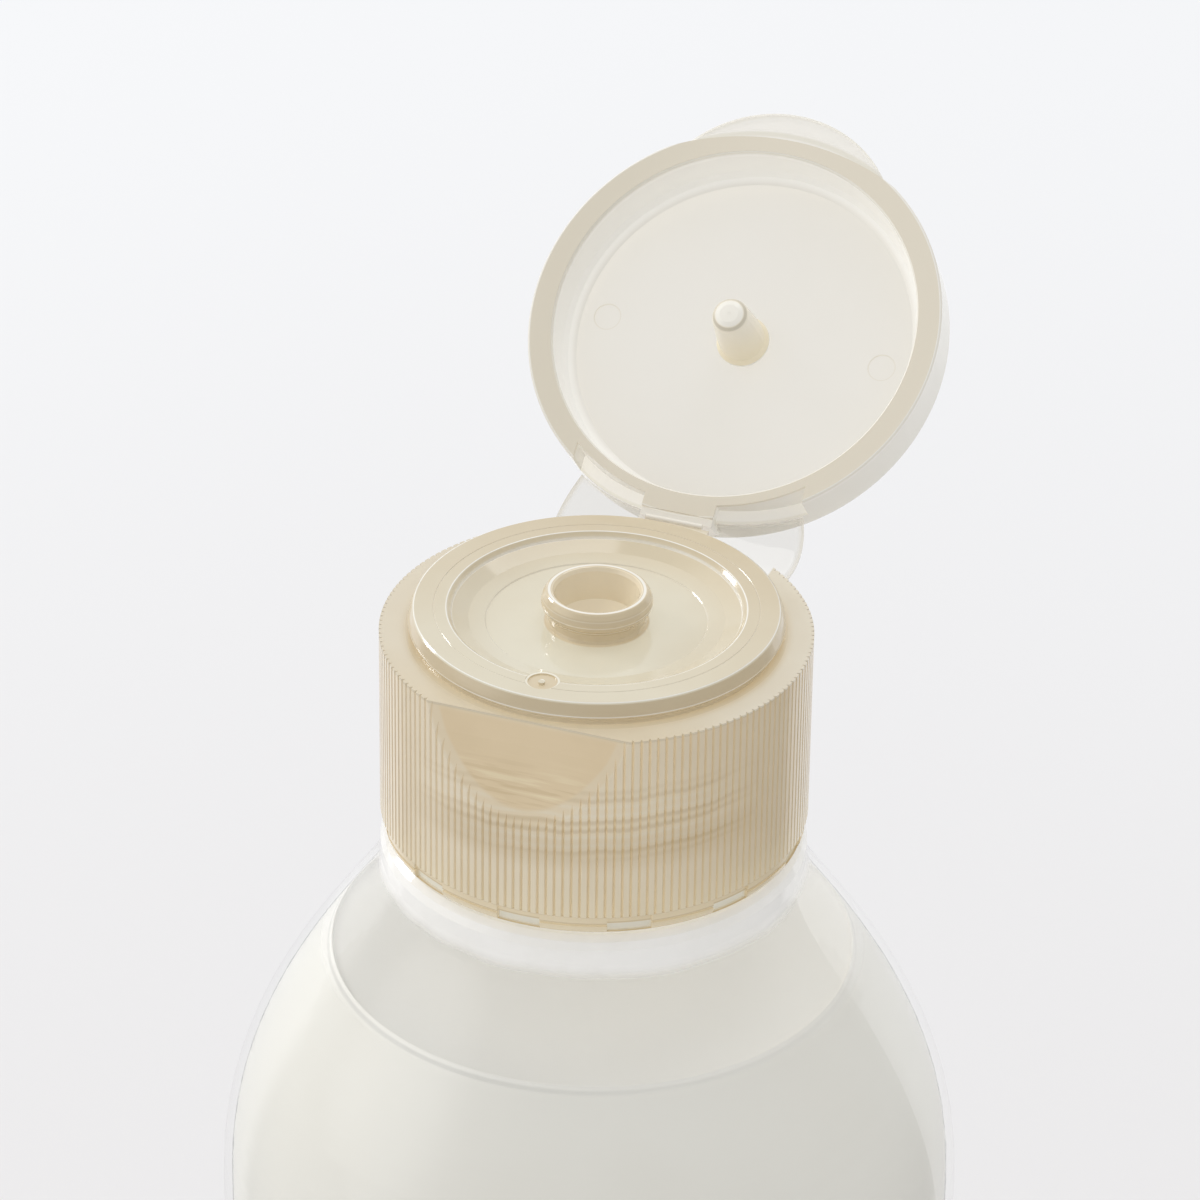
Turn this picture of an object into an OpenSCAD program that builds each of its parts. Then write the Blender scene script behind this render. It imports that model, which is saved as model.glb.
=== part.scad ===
// Lotion bottle with a screwed-on flip-top closure, drawn with the lid open.
// Millimetres, +Z up. The origin is the centre of the plane the bottle stands on.
// The hinge is at the back (+Y) and the thumb tab at the front (-Y).

/* [Bottle] */
// Height of the lid's seat above the standing plane
seat_z = 158.4; // [150:0.2:175]
// Outer radius of the straight body
body_r = 33.6; // [32:0.1:36]
// Wall of the blown body, measured level
body_wall = 0.75; // [0.6:0.05:1.2]
// Radius of the rounded heel
heel_r = 4.5; // [3:0.5:6]
// Height of the domed push-up under the base
push_up = 4.5; // [3:0.5:7]
// How far the throat under the closure stands out past the grip ribs
throat_out = 0; // [-0.4:0.1:1]
// Height of the shoulder dome
shoulder_h = 34.4; // [28:0.2:38]
// Lotion level below the lid's seat
fill_drop = 32.7; // [31:0.1:60]

/* [Neck] */
// Wall of the neck behind its thread
neck_wall = 2; // [1.6:0.1:2.2]
// Height of the neck's thread above its root
thread_depth = 1.3; // [1:0.05:1.4]
// Play between the crests of the two threads
thread_gap = 0.3; // [0.2:0.05:0.4]
// Rise of both threads in one turn
thread_pitch = 4; // [3.6:0.2:4.4]
// Turns of each thread
thread_turns = 1.6; // [1:0.1:1.8]
// Play between the collar and the bead under the thread
bead_gap = 0.4; // [0.3:0.05:0.8]

/* [Collar] */
// Radius over the tips of the grip ribs; neck, deck, hinge and lid take their sizes from it
collar_r = 19; // [17:0.1:21.5]
// Depth of the grooves between the ribs
rib_depth = 0.3; // [0.2:0.05:0.35]
// Number of grip ribs
rib_count = 162; // [120:2:168]
// Height of the collar below the lid's seat
collar_h = 19.6; // [18:0.1:21]
// Height of the smooth band at the collar's foot
foot_h = 1.8; // [1.8:0.05:2]
// Wall of the collar from the tips of the ribs to the bore
collar_wall = 1.8; // [1.7:0.05:1.9]
// Height of the closure's thread above the bore
inner_depth = 1; // [0.8:0.05:1.1]
// How far the thumb recess reaches below the seat at its deepest
thumb_drop = 11.2; // [9:0.1:12]
// Number of pockets round the foot of the collar
pocket_count = 12; // [8:2:16]
// Angle that one pocket takes
pocket_angle = 12; // [8:1:14]

/* [Deck and spout] */
// Play between the lid's bore and the snap bead that holds it shut
snap_gap = 0.4; // [0.35:0.05:0.6]
// Width of the flat rim round the dished deck, up to the snap bead
rim_width = 3.35; // [3:0.05:3.8]
// Height of the deck's rim above the seat
deck_h = 2.17; // [2:0.05:2.3]
// Height of the dished floor above the seat
floor_h = 0.77; // [0.6:0.05:1]
// Height of the spout's lip above the seat
spout_h = 3.91; // [3.5:0.05:4.2]
// Outer radius of the spout's lip
spout_r = 4.49; // [4.2:0.05:4.8]
// Radius of the pouring hole
orifice_r = 2.05; // [2.0:0.05:2.4]
// Radius of the round gate mark in the deck
gate_r = 1.5; // [1:0.1:1.8]
// Depth of the gate mark below the deck's rim
gate_depth = 0.12; // [0.1:0.02:0.3]
// Width of the fine edge round the gate mark's hollow
gate_edge = 0.24; // [0.2:0.02:0.4]

/* [Hinge] */
// How far the hinge line stands out past the lid's rim
hinge_out = 0.63; // [0.6:0.01:0.7]
// Height of the hinge line above the seat
hinge_z = 0.056; // [0.05:0.002:0.06]
// Angle between the open lid and the closed one
open_angle = 139.6; // [90:0.2:180]
// Half the width of the bending strap
strap_half = 2.7; // [2:0.1:3.2]
// Half the width of the notch that the side films fold into
notch_half = 10.95; // [10.6:0.05:11.2]
// Thickness of the two side films
film_t = 0.3; // [0.2:0.05:0.5]

/* [Lid] */
// How far the lid's rim stands out past the grip ribs
lid_lip = 0.2; // [0.1:0.05:0.25]
// Wall of the lid at its rim
lid_wall = 2.3; // [2.2:0.05:2.4]
// Height of the lid
lid_h = 5.9; // [5.7:0.1:6.4]
// Depth of the hollow inside the lid
lid_depth = 4.75; // [4.7:0.05:4.8]
// Radius of the plug pin at its foot
pin_r = 2.15; // [2.1:0.05:2.2]
// Radius of the plug pin at its tip
pin_tip_r = 1.72; // [1.6:0.02:1.74]
// How far the plug pin reaches past the lid's rim
pin_reach = 2; // [1.5:0.1:2]
// How far the thumb tab stands out past the lid's rim
tab_out = 2.2; // [1.2:0.1:2.4]
// Half the width of the thumb tab where it leaves the lid
tab_half = 9.1; // [7:0.1:10]

/* [Hidden] */
$fn = 96;

steps = 14;               // straight pieces in each curve of a profile
fluid_gap = 0.12;         // lotion stays this far inside the wall
seat_t = 1.5;             // thickness of the seat
land_z = 0.5;             // underside of the deck, where the neck's mouth seals
foot_z = -0.4 - collar_h; // shelf of the bottle under the closure
shoulder_top = -3 - collar_h;
ribs_end = foot_h - collar_h;
band_r = collar_r - 0.2;  // smooth band under the ribs
root_r = collar_r - rib_depth;
collar_bore_r = collar_r - collar_wall;
inner_thread_r = collar_bore_r - inner_depth;
thread_r = inner_thread_r - thread_gap;
neck_r = thread_r - thread_depth;
neck_bore_r = neck_r - neck_wall;
bead_r = collar_bore_r - bead_gap;
throat_r = collar_r + throat_out;
lid_r = collar_r + lid_lip;
lid_bore_r = lid_r - lid_wall;
snap_r = lid_bore_r - snap_gap;
dish_r = snap_r - rim_width;
gate_at = dish_r + 0.05;
hinge_y = lid_r + hinge_out;
nose_half = strap_half + 0.7;
tab_reach = lid_r + tab_out;
film_low_r = collar_r - 0.1; // the side films are rooted here on the collar
film_high_r = lid_r;         // and here on the lid
notch_z = [-1.2, -3.2];   // floor of the notch beside the strap and at its outer end
notch_x = [nose_half, notch_half];

function arc(c, r, a0, a1, n = steps) =
    [for (i = [0:n]) let(a = a0 + (a1 - a0) * i / n) [c.x + r * cos(a), c.y + r * sin(a)]];
function bezier(p, n = steps) =
    [for (i = [0:n]) let(t = i / n, s = 1 - t)
        s * s * s * p[0] + 3 * s * s * t * p[1] + 3 * s * t * t * p[2] + t * t * t * p[3]];

// Dome of the shoulder from the straight body up to the throat, drawn in by the given amount
function shoulder(inset) =
    let(low = seat_z + shoulder_top - shoulder_h, top = seat_z + shoulder_top)
    bezier([[body_r - inset, low], [body_r - inset, low + 0.52 * shoulder_h],
            [throat_r - inset, top - 0.17 * shoulder_h], [throat_r - inset, top]], 20);

// Domed base, standing ring and heel, from the axis out to the straight body
function base(inset) =
    let(rise = inset, ring = body_r - heel_r)
    concat(bezier([[0, push_up + rise], [ring * 0.45, push_up + rise],
                   [ring - 5, 1.6 + rise], [ring - 2.4, rise]], 12),
           arc([ring, heel_r], heel_r - inset, -90, 0, 10));

// Inside of the blown body from the base up to the foot of the neck, pulled in by a gap
function hollow(gap) =
    concat(base(body_wall + gap), shoulder(body_wall + gap),
           [[throat_r - body_wall - gap, seat_z + foot_z - 2],
            [throat_r - 1.6 - gap, seat_z + foot_z - 1.3],
            [neck_bore_r + 0.9 - gap, seat_z + foot_z - 0.9], [neck_bore_r - gap, seat_z + foot_z]]);

function reversed(p) = [for (i = [len(p) - 1:-1:0]) p[i]];

// Ridge that winds up round the axis: root and crest radii, half widths there, fading ends
module winding(root, crest, root_w, crest_w, z0, turns) {
    per = 30;
    n = round(per * turns);
    function fade(i) = min(1, i / 4, (n - i) / 4);
    function ring(i) = let(a = 360 * i / per, z = z0 + thread_pitch * i / per,
                           f = 0.12 + 0.88 * fade(i), tip = root + (crest - root) * f)
        [for (p = [[root, -root_w], [tip, -crest_w], [tip, crest_w], [root, root_w]])
            [p.x * cos(a), p.x * sin(a), z + p.y]];
    points = [for (i = [0:n]) each ring(i)];
    sides = [for (i = [0:n - 1], k = [0:3])
        each [[4 * i + k, 4 * i + (k + 1) % 4, 4 * i + 4 + k],
              [4 * i + (k + 1) % 4, 4 * i + 4 + (k + 1) % 4, 4 * i + 4 + k]]];
    ends = [[0, 3, 2], [0, 2, 1], [4 * n, 4 * n + 1, 4 * n + 2], [4 * n, 4 * n + 2, 4 * n + 3]];
    faces = concat(sides, ends);
    polyhedron(points, crest > root ? faces : [for (f = faces) [f[2], f[1], f[0]]]);
}

// One blown piece: body, shoulder and neck with its thread
module bottle() color([0.93, 0.93, 0.92, 0.45]) {
    rotate_extrude() polygon(concat(
        base(0), shoulder(0),
        [[throat_r, seat_z + foot_z - 1.2], [throat_r - 0.3, seat_z + foot_z - 0.5],
         [throat_r - 0.9, seat_z + foot_z - 0.1],
         [neck_r + 0.6, seat_z + foot_z], [neck_r, seat_z + foot_z + 0.6],
         [bead_r - 0.3, seat_z + foot_z + 0.9], [bead_r, seat_z + foot_z + 1.2],
         [bead_r, seat_z + foot_z + 1.7], [bead_r - 0.4, seat_z + foot_z + 2],
         [neck_r, seat_z + foot_z + 2.2], [neck_r, seat_z + land_z - 0.3],
         [neck_r - 0.3, seat_z + land_z], [neck_bore_r + 0.4, seat_z + land_z],
         [neck_bore_r, seat_z + land_z - 0.4]],
        reversed(hollow(0))));
    translate([0, 0, seat_z])
        winding(neck_r - 0.4, thread_r, 1.15, 0.45, foot_z + 7.4, thread_turns);
}

// Lotion up to its level, a little clear of the wall
module lotion() color([0.95, 0.94, 0.9]) {
    intersection() {
        rotate_extrude() polygon(concat(hollow(fluid_gap), [[0, seat_z + foot_z]]));
        cylinder(r = body_r, h = seat_z - fill_drop);
    }
}

// Star outline of the grip ribs: flat tips and narrow grooves between them
module rib_outline() {
    pitch = 360 / rib_count;
    polygon([for (i = [0:rib_count - 1], p = [[-0.31, collar_r], [0.31, collar_r], [0.5, root_r]])
        let(a = pitch * (i + p.x)) [p.y * sin(a), p.y * cos(a)]]);
}

// Section of the closure: collar wall, seat, deck, spout and the sealing ring under the deck
module closure_section() {
    polygon([
        [orifice_r, -2.2], [orifice_r, -0.3], [spout_r - 1.04, 0.9], [spout_r - 0.77, spout_h - 0.4],
        [spout_r - 0.6, spout_h - 0.06],
        [spout_r - 0.48, spout_h], [spout_r - 0.12, spout_h], [spout_r, spout_h - 0.1],
        [spout_r + 0.24, spout_h - 0.45], [spout_r + 0.4, spout_h - 0.95],
        [spout_r + 0.41, spout_h - 1.2], [spout_r + 0.3, spout_h - 1.55],
        [spout_r - 0.05, spout_h - 1.9], [spout_r - 0.24, spout_h - 2.2],
        [spout_r - 0.24, floor_h + 0.35], [spout_r - 0.1, floor_h + 0.1], [spout_r + 0.15, floor_h],
        [dish_r - 3.49, floor_h], [dish_r - 3.39, floor_h + 0.09],
        [dish_r - 1.95, floor_h + 0.3], [dish_r - 0.5, floor_h + 0.85],
        [dish_r - 0.4, floor_h + 1.1], [dish_r - 0.1, deck_h - 0.06], [dish_r, deck_h],
        [dish_r + 1.05, deck_h], [dish_r + 1.1, deck_h - 0.05], [dish_r + 1.15, deck_h],
        [snap_r - 0.55, deck_h], [snap_r - 0.37, deck_h - 0.12], [snap_r - 0.16, deck_h - 0.6],
        [snap_r - 0.03, deck_h - 0.95], [snap_r, deck_h - 1.17], [snap_r - 0.1, deck_h - 1.4],
        [snap_r - 0.4, deck_h - 1.7], [snap_r - 0.5, 0.2], [snap_r - 0.5, 0],
        [root_r - 0.25, 0], [root_r - 0.25, ribs_end], [band_r, ribs_end],
        [band_r, ribs_end - 0.75], [band_r - 0.18, ribs_end - 0.8],
        [band_r - 0.18, ribs_end - 0.92], [band_r, ribs_end - 0.98],
        [band_r - 0.05, 0.5 - collar_h], [band_r - 0.2, 0.2 - collar_h],
        [band_r - 0.45, -collar_h], [collar_bore_r + 0.3, -collar_h],
        [collar_bore_r, 0.3 - collar_h], [collar_bore_r, -seat_t - 0.4],
        [collar_bore_r - 0.4, -seat_t], [neck_r + 0.3, -seat_t], [neck_r + 0.3, land_z],
        [neck_bore_r - 0.2, land_z], [neck_bore_r - 0.3, -3.2], [neck_bore_r - 0.6, -3.7],
        [neck_bore_r - 1, -3.7], [neck_bore_r - 1.2, -3.3], [neck_bore_r - 1.2, -0.45],
        [orifice_r + 2.15, -0.45], [orifice_r + 1.35, -0.9], [orifice_r + 1.35, -2.2]]);
}

// Slanted face that leaves room for a thumb under the lid's tab, as a solid to cut with
module thumb_room() {
    r = collar_r;
    d = thumb_drop;
    rotate([90, 0, 90]) linear_extrude(2 * collar_r, center = true)
        polygon([[2.6 - r, 0.6], [2.4 - r, 0], [2 - r, -0.21 * d], [1.15 - r, -0.49 * d],
                 [0.14 - r, -0.8 * d], [-0.5 - r, -d], [-7 - r, -d], [-7 - r, 0.6]]);
}

// Wall that backs the thumb room on the inside
module thumb_wall() {
    r = collar_r;
    d = thumb_drop;
    intersection() {
        rotate([90, 0, 90]) linear_extrude(1.1 * collar_r, center = true)
            polygon([[3.4 - r, -1], [3.25 - r, -0.16 * d], [2.7 - r, -0.32 * d], [2 - r, -0.54 * d],
                     [1.6 - r, -0.66 * d], [0.6 - r, -0.66 * d], [0.6 - r, -1]]);
        cylinder(r = collar_r - 0.7, h = 2 * collar_h, center = true);
    }
}

// Wedge-shaped notch beside the strap, cut down from the seat (side = 1) or up from the lid's
// rim (side = -1), and no deeper than the given radius
module film_notches(inner, side) {
    for (s = [-1, 1])
        difference() {
            rotate([90, 0, 180]) linear_extrude(1.5 * collar_r)
                polygon([[s * notch_x[0], side * 0.4], [s * notch_x[0], side * notch_z[0]],
                         [s * notch_x[1], side * notch_z[1]], [s * notch_x[1], side * 0.4]]);
            cylinder(r = inner, h = 2 * collar_h, center = true);
        }
}

// Pockets round the foot of the collar: a shallow strip with a deeper panel under it
module foot_pockets() {
    for (i = [0:pocket_count - 1])
        rotate(360 * i / pocket_count - 90 - pocket_angle / 2)
            rotate_extrude(angle = pocket_angle)
                polygon([[band_r - 0.3, ribs_end - 0.12], [band_r - 0.3, ribs_end - 0.8],
                         [band_r - 0.6, ribs_end - 0.86], [band_r - 0.6, 0.18 - collar_h],
                         [band_r + 2, 0.18 - collar_h], [band_r + 2, ribs_end - 0.12]]);
}

// Collar, seat, deck and spout: one moulding
module closure_base() color([0.85, 0.79, 0.66]) translate([0, 0, seat_z]) {
    difference() {
        union() {
            rotate_extrude() closure_section();
            difference() {
                translate([0, 0, ribs_end]) linear_extrude(-ribs_end) rib_outline();
                cylinder(r = root_r - 0.5, h = 3 * collar_h, center = true);
            }
            thumb_wall();
            // level pad for the gate mark, across the step of the dish
            translate([0, -gate_at, floor_h]) cylinder(r = gate_r, h = deck_h - gate_depth - floor_h);
            // wall and floor behind the notch for the side films
            intersection() {
                difference() {
                    translate([0, 0, notch_z[1] - 1]) cylinder(r = root_r - 0.3, h = 3.4);
                    cylinder(r = neck_r + 0.7, h = 2 * collar_h, center = true);
                }
                translate([-notch_half - 1.55, 5, -6]) cube([2 * notch_half + 3.1, collar_r, 6]);
            }
        }
        thumb_room();
        film_notches(snap_r + 0.1, 1);
        foot_pockets();
        translate([0, -gate_at, deck_h - gate_depth]) cylinder(r = gate_r, h = 2);
        translate([0, -gate_at, deck_h - 2 * gate_depth]) cylinder(r = gate_r - gate_edge, h = 2);
        translate([-nose_half, collar_r - 0.1, -0.12]) cube([2 * nose_half, 3, 3]);
    }
    translate([0, -gate_at - 0.2, deck_h - 3 * gate_depth]) cylinder(r = 0.3, h = 3 * gate_depth);
    // nose that carries the strap
    rotate([90, 0, 90]) linear_extrude(2 * nose_half, center = true)
        polygon([[collar_r - 0.8, -0.12], [collar_r - 0.8, -3.4], [collar_r - 0.1, -3.4],
                 [hinge_y - 0.25, -2.2], [hinge_y - 0.18, -0.12]]);
    winding(collar_bore_r + 0.3, inner_thread_r, 1.05, 0.4, foot_z + 5.4, thread_turns);
}

// Everything inside is placed as on the shut lid, then swung open about the hinge line
module swung(angle) {
    translate([0, hinge_y, seat_z + hinge_z]) rotate([-angle, 0, 0])
        translate([0, -hinge_y, -hinge_z]) children();
}

module lid_section() {
    polygon([
        [0, lid_depth], [lid_bore_r - 1.2, lid_depth], [lid_bore_r - 0.45, lid_depth - 0.25],
        [lid_bore_r - 0.05, lid_depth - 0.8],
        [lid_bore_r + 0.05, lid_depth - 1.5], [lid_bore_r + 0.22, 1.3], [lid_bore_r, 0.9],
        [lid_bore_r, 0.2], [lid_bore_r + 0.15, 0], [lid_r - 0.15, 0], [lid_r, 0.15],
        [lid_r - 0.12, lid_h - 0.9], [lid_r - 0.3, lid_h - 0.4], [lid_r - 0.65, lid_h - 0.1],
        [lid_r - 1.1, lid_h], [0, lid_h]]);
}

module pin_section() {
    polygon([
        [0, lid_depth + 0.3], [pin_r + 0.3, lid_depth + 0.3], [pin_r + 0.3, lid_depth - 0.35],
        [pin_r + 0.12, lid_depth - 0.6], [pin_r, lid_depth - 0.75], [pin_r - 0.1, 2],
        [pin_tip_r, 0.8 - pin_reach], [pin_tip_r - 0.12, 0.45 - pin_reach],
        [pin_tip_r - 0.42, 0.17 - pin_reach], [pin_tip_r - 0.85, 0.03 - pin_reach], [0, -pin_reach]]);
}

// Crescent flange that the thumb lifts
module thumb_tab() {
    drop = tab_reach - sqrt(lid_r * lid_r - tab_half * tab_half) - 0.34;
    round_r = (tab_half * tab_half + drop * drop) / (2 * drop);
    difference() {
        translate([0, round_r - tab_reach, 0]) rotate_extrude()
            polygon([[0, 0.8], [round_r - 0.3, 0.8], [round_r, 1.05], [round_r, 1.6],
                     [round_r - 0.4, 2], [0, 2]]);
        cylinder(r = lid_bore_r + 1.4, h = 20, center = true);
        translate([-2 * lid_r, 6 - lid_r, -5]) cube([4 * lid_r, 3 * lid_r, 20]);
    }
}

// Lid with its skirt, plug pin and thumb tab: one moulding
module lid() color([0.88, 0.86, 0.8]) swung(open_angle) {
    difference() {
        union() {
            rotate_extrude() lid_section();
            rotate_extrude() pin_section();
        }
        // scoop under the tab
        difference() {
            translate([-12, -1.5 * lid_r, -1]) cube([24, 0.75 * lid_r, 1.8]);
            translate([0, 5.5, 0]) cylinder(r = lid_r + 4.7, h = 10, center = true);
        }
        film_notches(lid_bore_r + 1, -1);
        for (s = [-1, 1])
            translate([s * (lid_bore_r - 3.6), 0, lid_depth - 0.3]) cylinder(r = 1.25, h = 0.36);
        translate([-nose_half, collar_r - 0.1, -1]) cube([2 * nose_half, 3, 1.25]);
    }
    thumb_tab();
    // nose that carries the strap
    rotate([90, 0, 90]) linear_extrude(2 * nose_half, center = true)
        polygon([[collar_r - 0.8, 0.25], [hinge_y - 0.18, 0.25], [hinge_y - 0.25, 2.4],
                 [collar_r - 0.1, 3.6], [collar_r - 0.8, 3.6]]);
}

// Bending strap between the two noses, drawn as the thin round web it is in section
module hinge_strap() color([0.9, 0.88, 0.82]) {
    translate([0, hinge_y, seat_z + hinge_z]) rotate([0, 90, 0])
        cylinder(r = 0.25, h = 2 * strap_half, center = true);
}

// Point of a side film: u runs outwards from the strap, v from the collar to the lid
function root_point(u, side) =
    let(x = nose_half + 0.2 + (notch_half - nose_half - 0.6) * u,
        r = side > 0 ? film_high_r : film_low_r,
        w = (x - notch_x[0]) / (notch_x[1] - notch_x[0]))
    [x, sqrt(r * r - x * x), -side * (notch_z[0] + (notch_z[1] - notch_z[0]) * w)];
function opened(p, a) =
    let(y = p.y - hinge_y, z = p.z - hinge_z)
    [p.x, hinge_y + y * cos(a) + z * sin(a), hinge_z - y * sin(a) + z * cos(a)];
function film_point(u, v) =
    let(low = root_point(u, -1), high = opened(root_point(u, 1), open_angle),
        belly = (0.25 + 1.15 * u) * 4 * v * (1 - v))
    low * (1 - v) + high * v + belly * [0.7, 0.45, -0.55];

// Thin clear film at one side of the strap, curved as it stands with the lid open
module side_film(s) {
    nu = 6;
    nv = 8;
    lift = film_t * [0.15, -0.6, 0.78];
    function grid(up) = [for (i = [0:nu], j = [0:nv])
        film_point(i / nu, 0.02 + 0.96 * j / nv) + (up ? lift : [0, 0, 0])];
    points = concat(grid(true), grid(false));
    m = (nu + 1) * (nv + 1);
    function at(i, j) = i * (nv + 1) + j;
    quads = concat(
        [for (i = [0:nu - 1], j = [0:nv - 1]) each [
            [at(i, j), at(i, j + 1), at(i + 1, j + 1), at(i + 1, j)],
            [m + at(i, j), m + at(i + 1, j), m + at(i + 1, j + 1), m + at(i, j + 1)]]],
        [for (i = [0:nu - 1]) each [
            [at(i, 0), at(i + 1, 0), m + at(i + 1, 0), m + at(i, 0)],
            [at(i + 1, nv), at(i, nv), m + at(i, nv), m + at(i + 1, nv)]]],
        [for (j = [0:nv - 1]) each [
            [at(0, j + 1), at(0, j), m + at(0, j), m + at(0, j + 1)],
            [at(nu, j), at(nu, j + 1), m + at(nu, j + 1), m + at(nu, j)]]]);
    tris = [for (q = quads) each [[q[0], q[1], q[2]], [q[0], q[2], q[3]]]];
    translate([0, 0, seat_z])
        polyhedron([for (p = points) [s * p.x, p.y, p.z]],
                   s > 0 ? tris : [for (t = tris) [t[2], t[1], t[0]]]);
}

module hinge_film_left() color([0.95, 0.95, 0.93, 0.6]) side_film(-1);
module hinge_film_right() color([0.95, 0.95, 0.93, 0.6]) side_film(1);

bottle();
lotion();
closure_base();
hinge_strap();
hinge_film_left();
hinge_film_right();
lid();
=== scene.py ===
"""Lotion bottle with a flip-top closure: finishes, side films, lotion edge and stage."""

import math
from types import SimpleNamespace
import bpy
from bpy.props import (
    FloatProperty,
    FloatVectorProperty,
    IntProperty,
    PointerProperty,
)
from mathutils import Matrix, Vector


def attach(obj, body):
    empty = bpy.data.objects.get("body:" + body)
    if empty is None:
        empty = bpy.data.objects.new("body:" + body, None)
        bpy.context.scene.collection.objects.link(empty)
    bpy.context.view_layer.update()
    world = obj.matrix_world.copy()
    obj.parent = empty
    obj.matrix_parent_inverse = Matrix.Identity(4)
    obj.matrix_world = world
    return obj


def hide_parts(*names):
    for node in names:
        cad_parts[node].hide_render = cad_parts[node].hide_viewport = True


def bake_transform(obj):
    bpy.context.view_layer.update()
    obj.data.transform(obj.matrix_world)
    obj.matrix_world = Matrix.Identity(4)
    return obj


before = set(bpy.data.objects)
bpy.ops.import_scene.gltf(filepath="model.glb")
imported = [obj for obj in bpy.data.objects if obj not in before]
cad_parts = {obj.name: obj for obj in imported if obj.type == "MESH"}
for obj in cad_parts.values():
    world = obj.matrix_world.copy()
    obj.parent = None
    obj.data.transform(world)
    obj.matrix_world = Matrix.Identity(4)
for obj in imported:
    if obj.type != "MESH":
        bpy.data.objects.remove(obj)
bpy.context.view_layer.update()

bl_info = {
    "name": "Lotion bottle",
    "version": (1, 0, 0),
    "blender": (4, 5, 0),
    "location": "View3D > Sidebar > Bottle",
    "description": "Dresses a flip-top lotion bottle and sets its studio stage",
    "category": "Object",
}

# Sizes that the finishes and the films share with the solids, in metres
SEAT_Z = 0.1584
HINGE = Vector((0.0, 0.01983, 0.158456))
OPEN_ANGLE = math.radians(139.6)
# Ends of the notch beside the strap: distance from the middle, depth
NOTCH_INNER = (0.0034, 0.0012)
NOTCH_OUTER = (0.01095, 0.0032)
# Radius at which a side film leaves the collar, and the lid
FILM_RADIUS = (0.0189, 0.0192)
MM = 0.001
# Sizes in millimetres: gate mark from the middle, lid's depth, lotion's level from the seat
GATE_AT = 13.2
LID_DEPTH = 4.75
LEVEL_Z = -32.7

# Lines that the finishes draw, in millimetres from the middle of the seat
# Round the collar's foot: height, strength
FOOT_LINES = ((-17.82, 0.5), (-18.52, 0.45), (-19.4, 0.6))
# Painted highlight rings round the deck: radius, half width, softness, strength
DECK_RINGS = (
    (12.68, 0.06, 0.05, 0.7),
    (13.14, 0.05, 0.04, 0.95),
    (14.25, 0.02, 0.04, 0.5),
    (15.98, 0.04, 0.05, 0.95),
    (9.7, 0.03, 0.06, 0.35),
)
# Painted highlight lines round the spout's stem: height, strength
STEM_LINES = ((2.75, 0.5), (1.98, 0.65), (3.3, 0.3))
# Painted highlight rings round the lid's rim: radius, half width
RIM_RINGS = ((16.98, 0.05), (19.05, 0.06))
# Distance of the ejector marks from the lid's middle
EJECTOR_X = 13.3

# Cosines between which reflections change from the studio's back to its dimmer front
FRONT_EDGE = (-0.6, -0.44)
# Part of the floor, as the camera sees it, that is plain glow; the rest is lit and shadowed
FLOOR_GLOW = 0.6


# sizes and colours


class BOTTLE_PG_wall(bpy.types.PropertyGroup):
    """Clear wall of the blown bottle"""

    tint: FloatVectorProperty(
        name="Tint",
        description="Colour that light takes on through the wall",
        default=(1.0, 1.0, 0.995),
        subtype="COLOR",
        min=0.0,
        max=1.0,
    )
    # painted light: the throat's milky white stands in for the bright surroundings seen through the
    # thick plastic
    throat: FloatVectorProperty(
        name="Throat",
        description="Milky look of the thick plastic under the collar",
        default=(1.0, 0.985, 0.95),
        subtype="COLOR",
        min=0.0,
        max=1.0,
    )
    ior: FloatProperty(
        name="IOR",
        description="Strength of the wall's reflections, both its faces taken as one",
        default=1.65,
        min=1.3,
        max=1.8,
    )


class BOTTLE_PG_lotion(bpy.types.PropertyGroup):
    """Milky lotion inside the bottle"""

    colour: FloatVectorProperty(
        name="Lotion",
        description="Colour of the lotion",
        default=(0.865, 0.85, 0.80),
        subtype="COLOR",
        min=0.0,
        max=1.0,
    )
    shade: FloatVectorProperty(
        name="Shade",
        description="Slightly yellower lotion in the drifts",
        default=(0.835, 0.815, 0.76),
        subtype="COLOR",
        min=0.0,
        max=1.0,
    )
    # painted shade: the flank colour darkens the lotion's level top and its side towards the lamp
    flank: FloatVectorProperty(
        name="Flank",
        description="Deeper lotion on its level top and on the side towards the lamp",
        default=(0.70, 0.69, 0.65),
        subtype="COLOR",
        min=0.0,
        max=1.0,
    )
    edge_width: FloatProperty(
        name="Edge width",
        description="Width of the lotion's raised edge where it wets the wall",
        default=0.0007,
        subtype="DISTANCE",
        unit="LENGTH",
    )
    edge_rise: FloatProperty(
        name="Edge rise",
        description="How far the lotion's edge creeps up the wall",
        default=0.0004,
        subtype="DISTANCE",
        unit="LENGTH",
    )


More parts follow.
